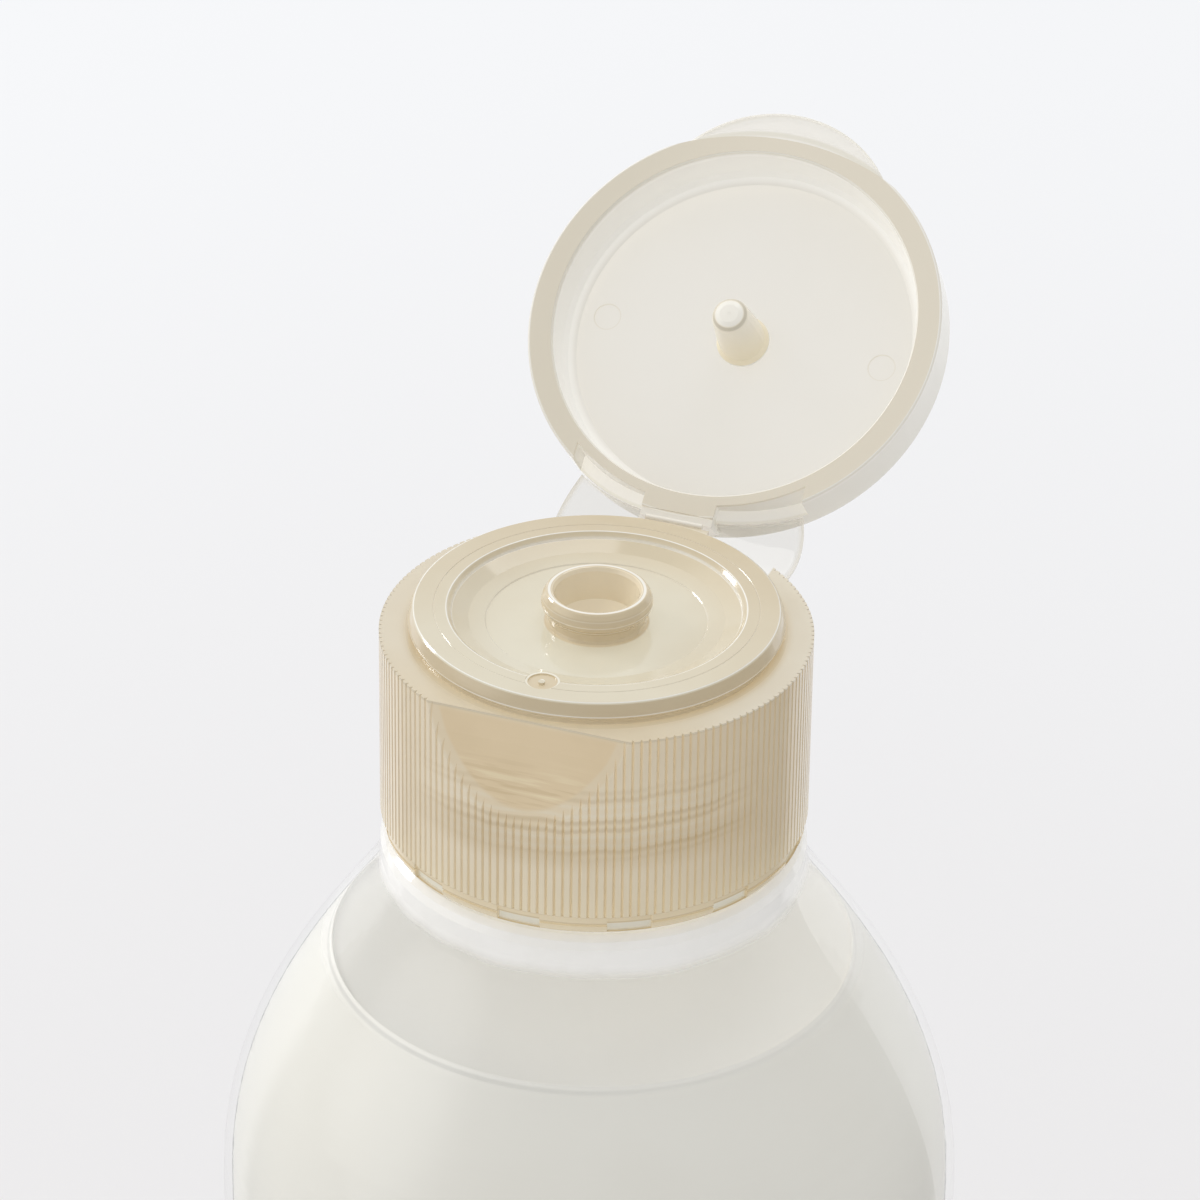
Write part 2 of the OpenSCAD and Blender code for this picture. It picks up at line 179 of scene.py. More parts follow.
class BOTTLE_PG_closure(bpy.types.PropertyGroup):
    """Warm translucent plastic of the closure and its lid"""

    # the wall colour is also painted as shade on the far dish and the front of the seat
    wall: FloatVectorProperty(
        name="Wall",
        description="Colour of the collar's ribbed wall",
        default=(0.66, 0.56, 0.39),
        subtype="COLOR",
        min=0.0,
        max=1.0,
    )
    # the groove colour is also painted as shade where the collar turns away
    groove: FloatVectorProperty(
        name="Groove",
        description="Colour in the grooves between the ribs and round the foot",
        default=(0.46, 0.325, 0.15),
        subtype="COLOR",
        min=0.0,
        max=1.0,
    )
    seat: FloatVectorProperty(
        name="Seat",
        description="Colour of the matte seat that the lid rests on",
        default=(0.70, 0.64, 0.52),
        subtype="COLOR",
        min=0.0,
        max=1.0,
    )
    deck: FloatVectorProperty(
        name="Deck",
        description="Colour of the thin deck inside the snap bead",
        default=(0.72, 0.68, 0.55),
        subtype="COLOR",
        min=0.0,
        max=1.0,
    )
    panel: FloatVectorProperty(
        name="Panel",
        description="Colour of the thin panels in the foot pockets",
        default=(0.84, 0.81, 0.70),
        subtype="COLOR",
        min=0.0,
        max=1.0,
    )
    plate: FloatVectorProperty(
        name="Lid plate",
        description="Colour of the lid's flat top, seen from inside",
        default=(0.90, 0.875, 0.82),
        subtype="COLOR",
        min=0.0,
        max=1.0,
    )
    rim: FloatVectorProperty(
        name="Lid rim",
        description="Colour of the lid's thick rim",
        default=(0.77, 0.71, 0.59),
        subtype="COLOR",
        min=0.0,
        max=1.0,
    )
    roughness: FloatProperty(
        name="Roughness",
        description="Roughness of the moulded faces",
        default=0.22,
        min=0.0,
        max=1.0,
        subtype="FACTOR",
    )
    # the edge colour is also the painted highlight on the pin's tip and the painted highlight lines
    # round the deck, bead, spout and lid rim
    edge: FloatVectorProperty(
        name="Edge",
        description="Colour of the lid's thin edges and the tip of its pin",
        default=(0.93, 0.92, 0.87),
        subtype="COLOR",
        min=0.0,
        max=1.0,
    )
    # the shade colour is painted shade on the lid rim's darker side, and also the dark ring round the
    # pin's tip
    shade: FloatVectorProperty(
        name="Shade",
        description="Colour of the lid's rim on its darker side",
        default=(0.56, 0.51, 0.40),
        subtype="COLOR",
        min=0.0,
        max=1.0,
    )
    passing: FloatProperty(
        name="Passing light",
        description="Share of soft light that crosses the collar and deck",
        default=0.8,
        min=0.0,
        max=1.0,
    )
    lid_passing: FloatProperty(
        name="Passing light of the lid",
        description="Share of soft light that crosses the lid",
        default=0.9,
        min=0.0,
        max=1.0,
    )
    collar: FloatVectorProperty(
        name="Collar",
        description="Colour of the ribbed collar",
        default=(0.79, 0.67, 0.48),
        subtype="COLOR",
        min=0.0,
        max=1.0,
    )
    bore: FloatVectorProperty(
        name="Bore",
        description="Colour of the spout's bore",
        default=(0.84, 0.74, 0.56),
        subtype="COLOR",
        min=0.0,
        max=1.0,
    )
    # the bead colour is also painted as shade on the deck, the dish and the seat
    bead: FloatVectorProperty(
        name="Snap bead",
        description="Colour of the bead that holds the lid shut",
        default=(0.60, 0.50, 0.34),
        subtype="COLOR",
        min=0.0,
        max=1.0,
    )
    thumb: FloatVectorProperty(
        name="Thumb face",
        description="Colour of the slanted face under the thumb",
        default=(0.775, 0.625, 0.41),
        subtype="COLOR",
        min=0.0,
        max=1.0,
    )
    # the glint streaks under the thumb are partly the threads seen through the face and partly
    # painted highlight
    glint: FloatVectorProperty(
        name="Glint",
        description="Colour of the bright streaks under the thumb",
        default=(0.88, 0.77, 0.53),
        subtype="COLOR",
        min=0.0,
        max=1.0,
    )
    # painted light: the lid's inner wall is lighter than its plate
    inner: FloatVectorProperty(
        name="Lid wall",
        description="Colour of the lid's wall inside",
        default=(0.99, 0.975, 0.93),
        subtype="COLOR",
        min=0.0,
        max=1.0,
    )


class BOTTLE_PG_film(bpy.types.PropertyGroup):
    """Thin clear films beside the hinge strap"""

    thickness: FloatProperty(
        name="Thickness",
        description="Thickness of the film away from its edges",
        default=0.00018,
        subtype="DISTANCE",
        unit="LENGTH",
    )
    edge: FloatProperty(
        name="Edge",
        description="Thickness of the film's rounded free edge",
        default=0.00034,
        subtype="DISTANCE",
        unit="LENGTH",
    )
    across: IntProperty(
        name="Across",
        description="Mesh cells from the strap out to the free edge",
        default=26,
        min=6,
        max=80,
    )
    along: IntProperty(
        name="Along",
        description="Mesh cells from the collar to the lid",
        default=32,
        min=8,
        max=100,
    )
    edge_colour: FloatVectorProperty(
        name="Edge colour",
        description="Colour that the film's thicker edges take on",
        default=(0.86, 0.83, 0.76),
        subtype="COLOR",
        min=0.0,
        max=1.0,
    )
    tint: FloatVectorProperty(
        name="Tint",
        description="Colour that light takes on through the film",
        default=(0.97, 0.965, 0.95),
        subtype="COLOR",
        min=0.0,
        max=1.0,
    )


class BOTTLE_PG_stage(bpy.types.PropertyGroup):
    """Floor, lamps and camera"""

    # painted shade: the floor colour is darker near the bottle than further away
    floor: FloatVectorProperty(
        name="Floor",
        description="Colour of the pale floor",
        default=(0.805, 0.795, 0.80),
        subtype="COLOR",
        min=0.0,
        max=1.0,
    )
    floor_far: FloatVectorProperty(
        name="Floor further away",
        description="Colour of the floor away from the bottle",
        default=(0.875, 0.883, 0.90),
        subtype="COLOR",
        min=0.0,
        max=1.0,
    )
    floor_radius: FloatProperty(
        name="Floor radius",
        description="Radius of the round floor",
        default=4.0,
        subtype="DISTANCE",
        unit="LENGTH",
    )
    aim: FloatVectorProperty(
        name="Aim",
        description="Point at the middle of the picture",
        default=(0.000281, 0.0, 0.161277),
        subtype="XYZ",
        unit="LENGTH",
    )
    distance: FloatProperty(
        name="Distance",
        description="From the camera to the point it aims at",
        default=0.520514,
        subtype="DISTANCE",
        unit="LENGTH",
    )
    azimuth: FloatProperty(
        name="Azimuth",
        description="Turn of the camera round the bottle from its front",
        default=math.radians(20.135),
        subtype="ANGLE",
        unit="ROTATION",
    )
    elevation: FloatProperty(
        name="Elevation",
        description="Height of the camera as an angle above level",
        default=math.radians(30.709),
        subtype="ANGLE",
        unit="ROTATION",
    )
    roll: FloatProperty(
        name="Roll",
        description="Small turn of the camera about its line of sight",
        default=math.radians(0.8),
        subtype="ANGLE",
        unit="ROTATION",
    )
    dim_light: FloatProperty(
        name="Dim light",
        description="Plain light from the studio's dimmer side, on the right",
        default=0.82,
        min=0.0,
        max=1.5,
    )
    full_light: FloatProperty(
        name="Full light",
        description="Plain light from the studio's brighter side, on the left",
        default=1.25,
        min=0.0,
        max=1.5,
    )
    front_gloss: FloatProperty(
        name="Front in reflections",
        description="How bright the studio's front shows in glossy faces",
        default=0.33,
        min=0.0,
        max=1.0,
    )
    lens: FloatProperty(
        name="Lens",
        description="Focal length in millimetres on a 36 mm sensor",
        default=179.52,
        min=20.0,
        max=400.0,
    )
    softbox: FloatProperty(
        name="Softbox",
        description="Brightness of the soft patch that gloss shows on the left",
        default=0.9,
        min=0.0,
        max=6.0,
    )


# node helpers


class Recipe:
    """Node tree of one finish, with short calls for its steps"""

    def __init__(self, name):
        self.material = bpy.data.materials.new(name)
        self.material.use_nodes = True
        self.tree = self.material.node_tree
        self.tree.nodes.clear()
        self.output = self.tree.nodes.new("ShaderNodeOutputMaterial")

    def node(self, kind, settings=None, **inputs):
        step = self.tree.nodes.new(kind)
        for key, value in (settings or {}).items():
            setattr(step, key, value)
        for key, value in inputs.items():
            self.feed(step, key.replace("_", " "), value)
        return step

    def feed(self, step, socket, value):
        if isinstance(socket, (str, int)):
            socket = step.inputs[socket]
        if isinstance(value, bpy.types.NodeSocket):
            self.tree.links.new(value, socket)
        elif socket.type == "RGBA":
            socket.default_value = (*value[:3], 1.0)
        else:
            socket.default_value = value

    def math(self, operation, *values, clamp=False):
        step = self.node("ShaderNodeMath", {"operation": operation, "use_clamp": clamp})
        for i, value in enumerate(values):
            self.feed(step, i, value)
        return step.outputs[0]

    def ramp(self, value, low, high, out_low=0.0, out_high=1.0):
        """Smooth step from out_low at low to out_high at high"""
        step = self.node("ShaderNodeMapRange", {"interpolation_type": "SMOOTHSTEP"})
        for i, v in enumerate((value, low, high, out_low, out_high)):
            self.feed(step, i, v)
        return step.outputs[0]

    def within(self, value, low, high, soft):
        """1 between low and high, 0 outside, with soft edges"""
        rise = self.ramp(value, low - soft, low + soft)
        fall = self.ramp(value, high - soft, high + soft, 1.0, 0.0)
        return self.math("MULTIPLY", rise, fall)

    def blend(self, factor, first, second):
        """Colour between first and second"""
        step = self.node("ShaderNodeMix", {"data_type": "RGBA"})
        self.feed(step, 0, factor)
        self.feed(step, 6, first)
        self.feed(step, 7, second)
        return step.outputs[2]

    def noise(self, place, scale, detail=3.0, roughness=0.5):
        step = self.node(
            "ShaderNodeTexNoise",
            Vector=place,
            Scale=scale,
            Detail=detail,
            Roughness=roughness,
        )
        return step.outputs["Fac"]

    def place(self):
        """Point on the piece at rest, in millimetres from the middle of the seat"""
        coords = self.node("ShaderNodeTexCoord")
        step = self.node("ShaderNodeMapping", Vector=coords.outputs["Object"])
        step.inputs["Scale"].default_value = (1000.0, 1000.0, 1000.0)
        step.inputs["Location"].default_value = (0.0, 0.0, -1000.0 * SEAT_Z)
        return step.outputs[0]

    def place_on_lid(self):
        """Point on the lid as if it were shut, in millimetres from the middle of the seat"""
        turn = Matrix.Rotation(OPEN_ANGLE, 3, "X")
        shut = Vector((HINGE.x, HINGE.y, HINGE.z - SEAT_Z))
        coords = self.node("ShaderNodeTexCoord")
        step = self.node("ShaderNodeMapping", Vector=coords.outputs["Object"])
        step.inputs["Scale"].default_value = (1000.0, 1000.0, 1000.0)
        step.inputs["Rotation"].default_value = (OPEN_ANGLE, 0.0, 0.0)
        step.inputs["Location"].default_value = (shut - turn @ HINGE) * 1000.0
        return step.outputs[0]

    def reach(self, x, y):
        """Distance from the middle, in plan"""
        square = self.math("ADD", self.math("MULTIPLY", x, x), self.math("MULTIPLY", y, y))
        return self.math("SQRT", square)

    def spot(self, place):
        """Coordinates of a place, its radius, and its angle from the front in radians"""
        x, y, z = self.node("ShaderNodeSeparateXYZ", Vector=place).outputs
        angle = self.math("ARCTAN2", x, self.math("MULTIPLY", y, -1.0))
        return SimpleNamespace(
            place=place, x=x, y=y, z=z, radius=self.reach(x, y), angle=angle
        )

    def times(self, *masks):
        """Product of masks and strengths"""
        product = masks[0]
        for mask in masks[1:]:
            product = self.math("MULTIPLY", product, mask)
        return product

    def paint(self, colour, target, *masks):
        """Colour drawn towards a target where all the masks are 1"""
        return self.blend(self.times(*masks), colour, target)

    def mix(self, factor, first, second):
        """Shader between two others"""
        step = self.node("ShaderNodeMixShader")
        self.feed(step, 0, factor)
        self.feed(step, 1, first.outputs[0])
        self.feed(step, 2, second.outputs[0])
        return step

    def soft_light(self):
        """1 for light that spreads between surfaces or comes from a lamp, 0 for what is seen"""
        rays = self.node("ShaderNodeLightPath").outputs
        return self.math("MAXIMUM", rays["Is Diffuse Ray"], rays["Is Shadow Ray"])

    def close(self, shader):
        self.tree.links.new(shader, self.output.inputs["Surface"])
        return self.material


def dress(piece, material):
    """Gives a piece one finish in its only slot"""
    piece.data.materials.clear()
    piece.data.materials.append(material)


def smooth_by_angle(piece, degrees):
    """Shades a solid smoothly, but keeps its edges sharp"""
    piece.data.shade_smooth()
    limit = math.radians(degrees)
    mesh = piece.data
    faces_at = {}
    for face in mesh.polygons:
        for key in face.edge_keys:
            faces_at.setdefault(key, []).append(face.normal)
    sharp = mesh.attributes.get("sharp_edge") or mesh.attributes.new(
        "sharp_edge", "BOOLEAN", "EDGE"
    )
    flags = []
    for edge in mesh.edges:
        normals = faces_at.get(tuple(sorted(edge.vertices)), [])
        flags.append(len(normals) == 2 and normals[0].angle(normals[1], 0.0) > limit)
    sharp.data.foreach_set("value", flags)


# finishes


def front_of(look):
    """Level direction from the bottle to the camera's side of the studio"""
    return Vector((math.sin(look.azimuth), -math.cos(look.azimuth), 0.0))


def clear_wall_finish(look):
    """Clear blown plastic: one glossy skin over the lotion, with painted light, milky white, where
    the throat is thick
    """
    r = Recipe("clear_wall")
    p = r.spot(r.place())
    grazing = r.node("ShaderNodeFresnel", IOR=look.ior)
    inside = r.node("ShaderNodeNewGeometry").outputs["Backfacing"]
    shine = r.math("MULTIPLY", grazing.outputs[0], r.math("SUBTRACT", 1.0, inside))
    through = r.node("ShaderNodeBsdfTransparent", Color=look.tint)
    # painted light: the thick plastic under the collar is milky white, unevenly, for the bright
    # surroundings seen through it
    clutter = r.noise(p.place, 0.13, 2.0, 0.5)
    ragged = r.math("ADD", p.z, r.math("MULTIPLY", clutter, 0.7))
    veil = r.times(
        r.ramp(ragged, -24.3, -22.4),
        r.ramp(p.z, -17.5, -17.0, 1.0, 0.0),
        r.ramp(clutter, 0.3, 0.65, 0.7, 0.92),
    )
    # a thin film of lotion clings to the shoulder above the level
    film = r.times(r.within(p.z, -32.5, -23.4, 0.25), 0.16)
    veil = r.math("MAXIMUM", veil, film)
    matte = r.node("ShaderNodeBsdfDiffuse", Color=look.throat)
    body = r.mix(veil, through, matte)
    gloss = r.node("ShaderNodeBsdfGlossy", Roughness=0.06)
    skin = r.mix(shine, body, gloss)
    # light that spreads inside the bottle passes the wall freely
    free = r.node("ShaderNodeBsdfTransparent", Color=look.tint)
    return r.close(r.mix(r.soft_light(), skin, free).outputs[0])


def lotion_finish(look):
    """Lotion: smooth white, slightly satin, with faint unevenness where it wets the wall"""
    r = Recipe("lotion")
    p = r.spot(r.place())
    drift = r.noise(p.place, 0.035, 2.0, 0.5)
    colour = r.blend(r.ramp(drift, 0.35, 0.7), look.colour, look.shade)
    # painted shade: darker on the level top and on the side towards the lamp
    level = r.within(p.z, LEVEL_Z - 0.25, LEVEL_Z + 0.1, 0.06)
    top = r.times(level, r.ramp(p.x, 22.0, -14.0, 0.2, 1.0))
    flank = r.ramp(p.x, -20.0, -32.0, 0.0, 0.5)
    colour = r.blend(r.math("MAXIMUM", top, flank), colour, look.flank)
    ripple = r.noise(p.place, 0.11, 2.0, 0.5)
    bump = r.node("ShaderNodeBump", Height=ripple, Distance=0.0004, Strength=0.08)
    body = r.node(
        "ShaderNodeBsdfPrincipled",
        Base_Color=colour,
        Roughness=r.ramp(drift, 0.3, 0.7, 0.42, 0.55),
        IOR=1.3,
        Normal=bump.outputs[0],
    )
    return r.close(body.outputs[0])


def moulded(r, colour, roughness, bump, passing, returned, clear=None, coat=0.5):
    """Warm plastic that lets light soak through: passing is the share that crosses it,
    returned the colour of the rest, and clear the share that shows what is behind"""
    skin = r.node(
        "ShaderNodeBsdfPrincipled",
        Base_Color=colour,
        Roughness=roughness,
        IOR=1.49,
        Coat_Weight=coat,
        Coat_Roughness=0.05,
        Normal=bump,
    )
    if clear is not None:
        skin = r.mix(clear, skin, r.node("ShaderNodeBsdfTransparent", Color=(1.0, 0.99, 0.97)))
    # soft light crosses the plastic, and only a little of it is sent back
    back = r.node("ShaderNodeBsdfDiffuse", Color=returned)
    behind = r.node("ShaderNodeBsdfTransparent", Color=(1.0, 0.99, 0.96))
    soaked = r.mix(passing, back, behind)
    return r.mix(r.soft_light(), skin, soaked).outputs[0]


def collar_colour(r, look, p, cloud):
    """Ribbed wall with the thread bands that show through it, and the collar's foot"""
    below = r.ramp(p.z, -0.1, -0.3)
    colour = r.blend(below, look.wall, look.collar)
    # the ribs' tips gather more light than the wall between them
    colour = r.paint(colour, look.panel, r.ramp(p.radius, 18.86, 18.98), below, 0.25)
    # windings of the threads, as soft bands that rise round the wall
    rise = r.math("ADD", p.z, r.times(p.angle, -0.95))
    winding = r.math("ADD", rise, r.times(cloud, 1.3))
    broad = r.math("SINE", r.times(winding, 2.1))
    fine = r.math("SINE", r.times(winding, 6.3))
    band = r.math("ADD", r.times(broad, 0.6), r.times(fine, 0.4))
    zone = r.times(
        r.within(p.z, -11.4, -4.8, 1.0),
        r.ramp(p.z, -3.0, -9.0, 0.5, 1.0),
        r.ramp(p.angle, 1.25, 0.8),
        r.ramp(p.angle, -0.7, 0.0),
    )
    colour = r.paint(colour, look.groove, r.ramp(band, 0.0, 0.9), zone, 0.38)
    colour = r.paint(colour, look.panel, r.ramp(band, -0.3, -0.9), zone, 0.3)
    # a broad amber band at the lower end of the thread bands
    low_band = r.times(r.within(p.z, -12.6, -9.4, 1.0), r.within(p.angle, -0.5, 1.15, 0.3))
    colour = r.paint(colour, look.groove, low_band, 0.2)
    # painted shade: darker where the wall turns away to either side
    colour = r.paint(colour, look.groove, r.ramp(p.angle, 0.2, 1.5), 0.38)
    colour = r.paint(colour, look.groove, r.ramp(p.angle, -0.45, -0.95), 0.33)
    # paler towards the foot, with thin panels in its pockets
    colour = r.paint(colour, look.glint, r.ramp(p.z, -12.5, -19.5, 0.0, 0.4))
    for height, strength in FOOT_LINES:
        line = r.within(p.z, height - 0.05, height + 0.05, 0.06)
        colour = r.paint(colour, look.groove, line, strength)
    pocket = r.times(
        r.ramp(p.radius, 18.3, 18.45, 1.0, 0.0),
        r.within(p.z, -19.43, -18.6, 0.03),
        r.ramp(p.radius, 17.8, 17.9),
    )
    return r.paint(colour, look.panel, pocket)


def thumb_colour(r, look, p, colour):
    """Streaks on the slanted face under the thumb: partly the threads seen through it, partly painted
    highlights
    """
    stretch = r.node("ShaderNodeMapping", Vector=p.place)
    stretch.inputs["Scale"].default_value = (0.12, 0.25, 1.7)
    streak = r.noise(stretch.outputs[0], 1.0, 2.0, 0.6)
    face = r.times(
        r.ramp(p.radius, 18.45, 18.6, 1.0, 0.0),
        r.within(p.z, -11.2, -0.3, 0.3),
        r.ramp(p.y, -12.0, -11.5, 1.0, 0.0),
    )
    colour = r.paint(colour, look.thumb, face)
    shown = r.times(face, r.ramp(p.z, -2.5, -6.0))
    # bright streaks, partly the threads seen through and partly painted highlight, with darker
    # streaks between
    colour = r.paint(colour, look.glint, shown, r.ramp(streak, 0.5, 0.64, 0.0, 0.6))
    return r.paint(colour, look.groove, shown, r.ramp(streak, 0.46, 0.36, 0.0, 0.22))


def seat_colour(r, look, p, colour, seat):
    """Pale seat, with painted shade to the front and the left, and the snap bead beside it"""
    colour = r.paint(colour, look.seat, seat)
    # painted shadow on the front of the seat, and painted shade on its left
    colour = r.paint(colour, look.wall, seat, r.ramp(p.y, -8.0, -16.0, 0.0, 0.65))
    colour = r.paint(colour, look.bead, seat, r.ramp(p.x, -9.0, -17.0, 0.0, 0.22))
    bead = r.times(r.within(p.z, 0.1, 2.1, 0.05), r.ramp(p.radius, 15.8, 15.9))
    colour = r.paint(colour, look.bead, bead)
    # painted highlight along the bead's crest
    crest = r.times(r.within(p.z, 0.92, 1.02, 0.05), r.ramp(p.radius, 16.35, 16.45))
    return r.paint(colour, look.edge, crest, 0.85)


def deck_colour(r, look, p, colour):
    """Deck and dish: paler to the front, over the clear neck, and darker to the back, the left and
    the sides, as painted light and shade, with painted highlight rings
    """
    deck = r.times(r.ramp(p.z, 2.0, 2.1), r.ramp(p.radius, 4.9, 5.1))
    # painted light: the deck paler to the front, over the clear neck
    front = r.times(r.ramp(p.y, 9.0, -13.0, 0.6, 1.0), r.ramp(p.x, 17.0, 6.0, 0.85, 1.0))
    colour = r.paint(colour, look.deck, deck, front)
    # painted shade to the back and the left
    back, left = r.ramp(p.y, 0.0, 15.0, 0.25, 0.75), r.ramp(p.x, -6.0, -16.0, 0.0, 0.35)
    colour = r.paint(colour, look.bead, deck, r.math("MAXIMUM", back, left))
    dish = r.times(
        r.ramp(p.radius, 12.7, 13.15, 1.0, 0.0),
        r.within(p.z, 0.6, 2.1, 0.1),
        r.ramp(p.radius, 4.5, 4.7),
    )
    colour = r.paint(colour, look.deck, dish, r.ramp(p.radius, 9.0, 12.5, 0.97, 0.8))
    # painted shade towards the dish's sides and on its far part
    sides = r.ramp(r.math("ABSOLUTE", p.x), 5.0, 11.0, 0.0, 0.3)
    colour = r.paint(colour, look.bead, dish, sides)
    far = r.times(r.ramp(p.y, 1.0, 12.0), r.ramp(p.radius, 6.0, 12.0))
    colour = r.paint(colour, look.wall, dish, far, 0.65)
    # painted highlight rings
    above = r.ramp(p.z, 0.7, 0.8)
    for radius, half, soft, strength in DECK_RINGS:
        line = r.within(p.radius, radius - half, radius + half, soft)
        colour = r.paint(colour, look.edge, line, above, strength)
    # level gate mark across the step of the dish, with a painted highlight round its edge
    reach = r.reach(p.x, r.math("ADD", p.y, GATE_AT))
    level = r.within(p.z, 1.75, 2.12, 0.02)
    colour = r.paint(colour, look.wall, r.ramp(reach, 1.28, 1.34, 1.0, 0.0), level)
    return r.paint(colour, look.panel, r.within(reach, 1.32, 1.5, 0.04), level)


def spout_colour(r, look, p, colour):
    """Tan stem and bore, with a painted highlight on the thin lip and painted highlight lines round
    the stem
    """
    spout = r.times(r.ramp(p.radius, 4.95, 5.0, 1.0, 0.0), r.ramp(p.z, 0.8, 0.95))
    colour = r.paint(colour, look.wall, spout)
    bore = r.times(r.ramp(p.radius, 3.95, 4.0, 1.0, 0.0), r.ramp(p.z, -0.5, 0.2))
    colour = r.paint(colour, look.bore, bore)
    # painted highlight on the lip
    lip = r.times(r.ramp(p.z, 3.83, 3.88), r.within(p.radius, 4.06, 4.3, 0.05))
    colour = r.paint(colour, look.edge, lip, 0.8)
    # painted highlight lines round the stem
    outside = r.times(r.ramp(p.radius, 4.3, 4.4), spout)
    for height, strength in STEM_LINES:
        line = r.within(p.z, height - 0.04, height + 0.04, 0.05)
        colour = r.paint(colour, look.edge, line, outside, strength)
    return colour


def closure_finish(look):
    """Closure: ribbed collar, matte seat, pale deck and thin pocket panels"""
    r = Recipe("closure_plastic")
    p = r.spot(r.place())
    cloud = r.noise(p.place, 0.16, 2.0, 0.5)
    seat = r.times(r.within(p.z, -0.15, 0.15, 0.05), r.ramp(p.radius, 16.0, 17.4))
    colour = collar_colour(r, look, p, cloud)
    colour = thumb_colour(r, look, p, colour)
    colour = seat_colour(r, look, p, colour, seat)
    colour = deck_colour(r, look, p, colour)
    colour = spout_colour(r, look, p, colour)
    # faint unevenness everywhere
    colour = r.paint(colour, look.groove, r.ramp(cloud, 0.35, 0.75), 0.08)
    # the deck is more polished than the collar, and the seat is matte
    polish = r.ramp(p.z, 0.3, 0.7, look.roughness, 0.6 * look.roughness)
    roughness = r.math("MAXIMUM", polish, r.times(seat, 0.55))
    swirl = r.noise(p.place, 0.35, 1.0, 0.5)
    soft = r.node("ShaderNodeBump", Height=swirl, Distance=0.00015, Strength=0.3)
    return r.close(moulded(r, colour, roughness, soft.outputs[0], look.passing, look.collar))


def rim_colour(r, look, p, cloud):
    """Lid's plate and its rim, which is seen end on and so looks deeper than the walls"""
    rim = r.times(
        r.ramp(p.radius, 16.75, 17.0),
        r.ramp(p.z, 0.1, 0.5, 1.0, 0.0),
        r.ramp(p.radius, 18.9, 19.25, 1.0, 0.4),
    )
    colour = r.blend(rim, look.plate, look.rim)
    # painted highlight rings at the rim's edges
    low = r.ramp(p.z, 0.3, 0.5, 1.0, 0.0)
    for radius, half in RIM_RINGS:
        line = r.within(p.radius, radius - half, radius + half, 0.05)
        colour = r.paint(colour, look.edge, line, low, 0.7)
    # painted shade on the rim's left side
    colour = r.paint(colour, look.shade, rim, r.ramp(p.x, 0.0, -17.0, 0.0, 0.25))
    return r.paint(colour, look.rim, r.ramp(cloud, 0.35, 0.75), 0.04)


def pin_colour(r, look, p, colour):
    """Plug pin: deeper towards its foot, with a bright disc of painted highlight at the tip"""
    pin = r.times(
        r.ramp(p.radius, 2.9, 3.2, 1.0, 0.0),
        r.ramp(p.z, LID_DEPTH - 0.15, LID_DEPTH - 0.3, 0.0, 1.0),
    )
    colour = r.paint(colour, look.glint, pin, r.ramp(p.z, -2.0, 4.0, 0.35, 0.75))
    halo = r.times(r.within(p.radius, 1.35, 1.6, 0.06), r.ramp(p.z, -1.6, -1.2, 1.0, 0.0))
    colour = r.paint(colour, look.shade, halo, 0.7)
    # painted highlight on the pin's tip
    tip = r.times(r.ramp(p.radius, 1.2, 1.34, 1.0, 0.0), r.ramp(p.z, -1.7, -1.2, 1.0, 0.0))
    return r.paint(colour, look.edge, tip, 0.6)


def lid_finish(look):
    """Lid: even pale plate, darker thick rim, clear thin tab"""
    r = Recipe("lid_plastic")
    p = r.spot(r.place_on_lid())
    cloud = r.noise(p.place, 0.12, 2.0, 0.5)
    colour = rim_colour(r, look, p, cloud)
    # walls inside and outside, with painted light making the inner wall lighter than the plate
    inner = r.times(r.within(p.radius, 16.0, 17.2, 0.3), r.ramp(p.z, 0.3, 0.8))
    colour = r.paint(colour, look.inner, inner)
    skirt = r.times(r.within(p.radius, 18.9, 19.35, 0.1), r.ramp(p.z, 0.3, 0.6))
    colour = r.paint(colour, look.deck, skirt, 0.4)
    colour = pin_colour(r, look, p, colour)
    # faint ring that each ejector leaves
    reach = r.reach(r.math("SUBTRACT", r.math("ABSOLUTE", p.x), EJECTOR_X), p.y)
    mark = r.times(r.within(reach, 1.2, 1.3, 0.04), r.ramp(p.z, 4.2, 4.5))
    colour = r.paint(colour, look.rim, mark, 0.4)
    # the thin tab is clear, with a paler edge all round
    tab = r.times(r.ramp(p.radius, 19.3, 19.6), r.ramp(p.y, -14.0, -14.5))
    edge = r.within(p.z, 1.12, 1.7, 0.1)
    clear = r.times(tab, r.ramp(edge, 0.0, 1.0, 0.55, 0.1))
    colour = r.paint(colour, look.edge, tab, edge)
    swirl = r.noise(p.place, 0.3, 1.0, 0.5)
    soft = r.node("ShaderNodeBump", Height=swirl, Distance=0.00012, Strength=0.04)
    roughness = r.ramp(cloud, 0.3, 0.7, look.roughness + 0.08, look.roughness + 0.14)
    # no polish on the inner wall
    coat = r.ramp(inner, 0.0, 0.5, 0.5, 0.0)
    return r.close(
        moulded(r, colour, roughness, soft.outputs[0], look.lid_passing, look.plate, clear, coat)
    )


def film_finish(look):
    """Clear thin film with a glossy skin and a paler, thicker free edge"""
    r = Recipe("clear_film")
    place = r.place()
    streak = r.noise(place, 0.5, 1.0, 0.5)
    bump = r.node("ShaderNodeBump", Height=streak, Distance=0.0001, Strength=0.4)
    through = r.node("ShaderNodeBsdfTransparent", Color=look.tint)
    pale = r.node("ShaderNodeBsdfDiffuse", Color=look.edge_colour)
    edge = r.node("ShaderNodeAttribute", {"attribute_name": "edge"}).outputs["Fac"]
    body = r.mix(r.ramp(edge, 0.0, 1.0, 0.05, 0.5), through, pale)
    gloss = r.node("ShaderNodeBsdfGlossy", Roughness=0.08, Normal=bump.outputs[0])
    grazing = r.node("ShaderNodeFresnel", IOR=1.5, Normal=bump.outputs[0])
    inside = r.node("ShaderNodeNewGeometry").outputs["Backfacing"]
    shine = r.math("MULTIPLY", grazing.outputs[0], r.math("SUBTRACT", 1.0, inside))
    return r.close(r.mix(shine, body, gloss).outputs[0])


